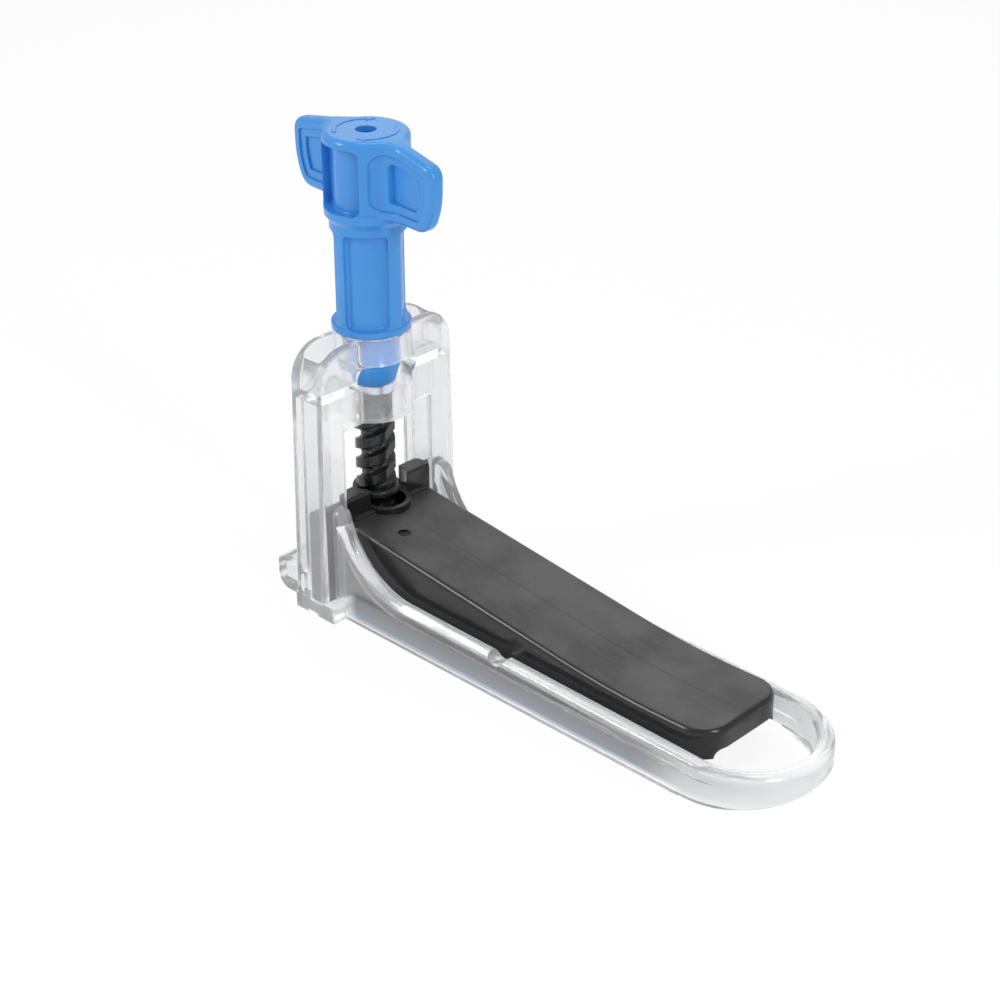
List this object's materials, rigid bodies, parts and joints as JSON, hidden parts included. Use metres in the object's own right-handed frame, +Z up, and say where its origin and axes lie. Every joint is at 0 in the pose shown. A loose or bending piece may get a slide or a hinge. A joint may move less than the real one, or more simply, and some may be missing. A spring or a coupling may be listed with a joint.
{
  "type": "tendon retractor",
  "caption": "Clear loop frame with a gate tower; a winged knob turns on a double-start screw and lifts a long black plate out of the loop.",
  "frame": {"origin": "where the screw's axis meets the surface that the frame lies on", "axes": "+X along the loop to its round end, +Y across it, +Z up the screw's axis to the knob"},
  "size_m": [0.1749, 0.05, 0.1279],
  "materials": {
    "clear_polycarbonate": "clear, polished, lightly frosted in the channels",
    "blue_plastic": "semi-gloss moulded blue",
    "black_nylon": "glossy moulded black",
    "black_plate_plastic": "satin black top with glossy rounded edges"
  },
  "bodies": {
    "frame": {"clear_frame": "clear_polycarbonate"},
    "knob": {"wing_knob": "blue_plastic"},
    "carriage": {"lift_screw": "black_nylon", "lift_plate": "black_plate_plastic"}
  },
  "joints": [
    {"name": "knob_turn", "type": "hinge", "parent": "frame", "child": "knob", "pos_m": [0, 0, 0.09], "axis": [0, 0, -1], "range_deg": [0, 631]},
    {"name": "plate_lift", "type": "slide", "parent": "frame", "child": "carriage", "axis": [0, 0, 1], "range_m": [0, 0.02]}
  ],
  "couplings": [
    {"joint": "plate_lift", "follows": "knob_turn", "m_per_rad": 0.0018144}
  ]
}
